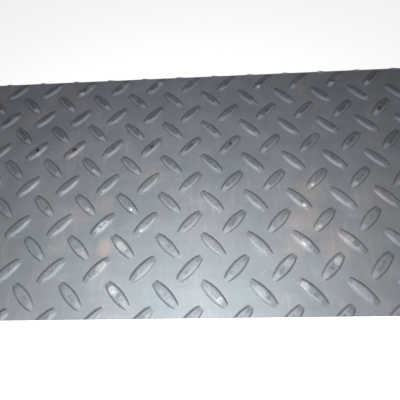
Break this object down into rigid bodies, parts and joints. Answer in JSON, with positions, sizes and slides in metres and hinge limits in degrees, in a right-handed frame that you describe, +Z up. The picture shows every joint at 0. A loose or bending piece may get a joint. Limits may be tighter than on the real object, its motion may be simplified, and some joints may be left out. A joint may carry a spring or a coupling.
{
  "type": "checker plate",
  "caption": "Flat rectangular sheet of steel floor plate with a raised tread of lens-shaped lugs that lean left and right by turns, smooth underneath and sheared square on its edges.",
  "frame": {"origin": "centre of the flat underside", "axes": "+X along the sheet, +Y across it, +Z up out of the lugged face"},
  "size_m": [0.5, 0.25, 0.0065],
  "materials": {
    "steel": "hot-rolled mill finish, soft sheen, scuffed and lightly stained on the lugs"
  },
  "bodies": {
    "root": {"checker_plate": "steel"}
  },
  "joints": []
}
